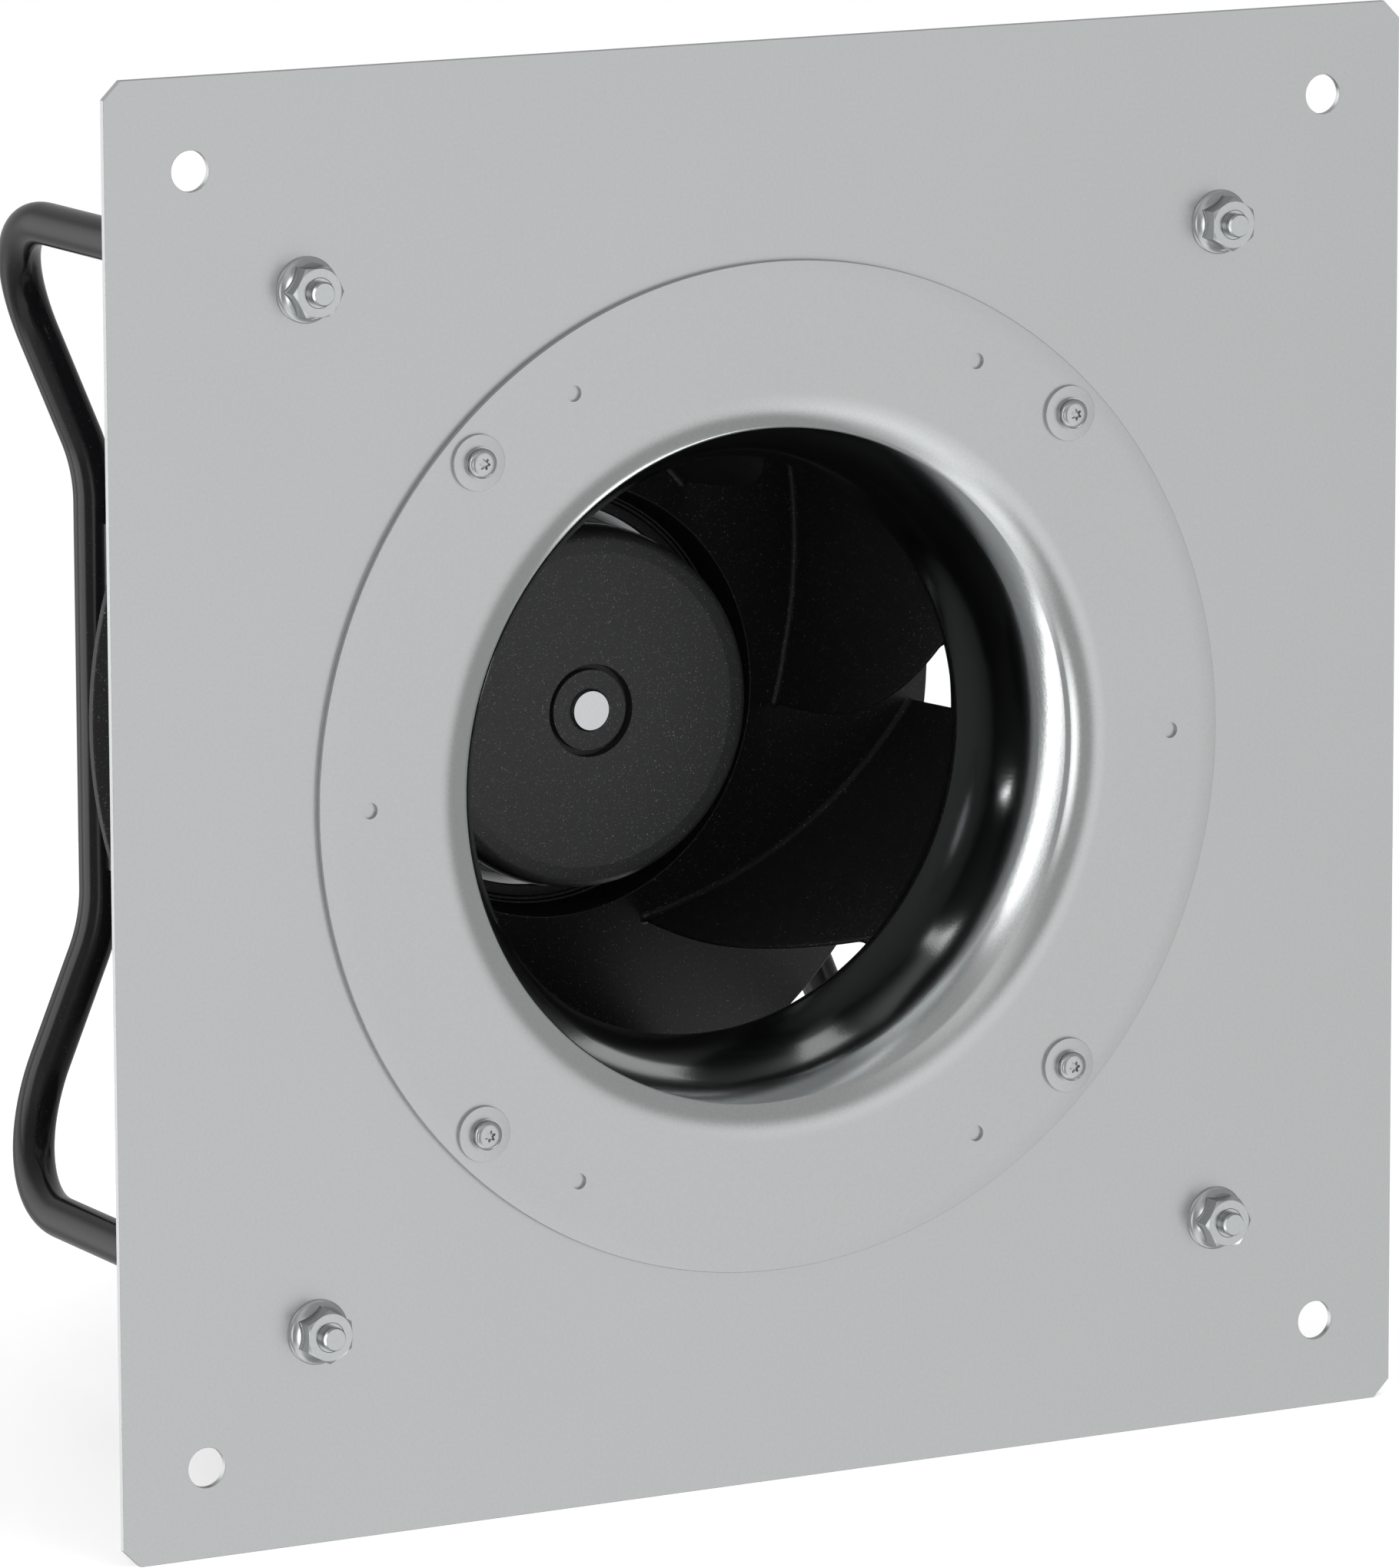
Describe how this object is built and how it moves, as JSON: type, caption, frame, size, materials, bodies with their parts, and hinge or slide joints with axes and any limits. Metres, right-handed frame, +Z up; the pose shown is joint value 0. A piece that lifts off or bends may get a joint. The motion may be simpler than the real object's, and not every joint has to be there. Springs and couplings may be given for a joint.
{
  "type": "centrifugal fan module",
  "caption": "Backward curved centrifugal fan on a square plate: inlet nozzle, shrouded impeller on an external rotor motor, tube brackets, electronics housing.",
  "frame": {"origin": "middle of the support plate's front face, on the fan's axis", "axes": "+X right and +Z up as seen from the inlet, +Y along the fan's axis, away from the inlet"},
  "size_m": [0.4, 0.2545, 0.4],
  "materials": {
    "zinc_sheet": "zinc coated sheet, even fine grain, dull shine",
    "zinc_fastener": "bright zinc plate",
    "black_tube": "glossy black powder coat",
    "black_plastic": "moulded black plastic, soft shine",
    "rotor_paint": "black paint on die cast metal",
    "flange_metal": "turned, bare",
    "steel": "ground",
    "magnet": "sintered, dark grey",
    "cast_aluminium": "cast, fine blasted skin",
    "lamination": "stacked sheet",
    "copper_wire": "lacquered copper wire",
    "board": "coated board",
    "component_case": "moulded cases",
    "gasket_rubber": "soft, dull",
    "gland_plastic": "moulded, satin"
  },
  "bodies": {
    "root": {"support_plate": "zinc_sheet", "inlet_nozzle": "zinc_sheet", "nozzle_screws": "zinc_fastener", "nozzle_nuts": "zinc_fastener", "flange_nuts": "zinc_fastener", "stud_bolts": "zinc_fastener", "left_tube": "black_tube", "right_tube": "black_tube", "motor_carrier": "zinc_sheet", "motor_screws": "zinc_fastener", "stator_housing": "cast_aluminium", "front_bearing": "steel", "rear_bearing": "steel", "bearing_spring": "steel", "stator_laminations": "lamination", "stator_windings": "copper_wire", "electronics_housing": "cast_aluminium", "circuit_board": "board", "board_screws": "zinc_fastener", "board_components": "component_case", "cover_gasket": "gasket_rubber", "electronics_cover": "cast_aluminium", "cover_screws": "zinc_fastener", "cable_gland": "gland_plastic", "gland_nut": "gland_plastic", "gland_seal": "gasket_rubber"},
    "rotor": {"rotor_cup": "rotor_paint", "shaft": "steel", "retaining_ring": "steel", "magnet_ring": "magnet", "rotor_flange": "flange_metal", "impeller_screws": "zinc_fastener", "impeller_hub": "black_plastic", "impeller_blades": "black_plastic", "impeller_shroud": "black_plastic"}
  },
  "joints": [
    {"name": "impeller_spin", "type": "hinge", "parent": "root", "child": "rotor", "pos_m": [0, 0.14, 0], "axis": [0, 1, 0], "continuous": true}
  ]
}
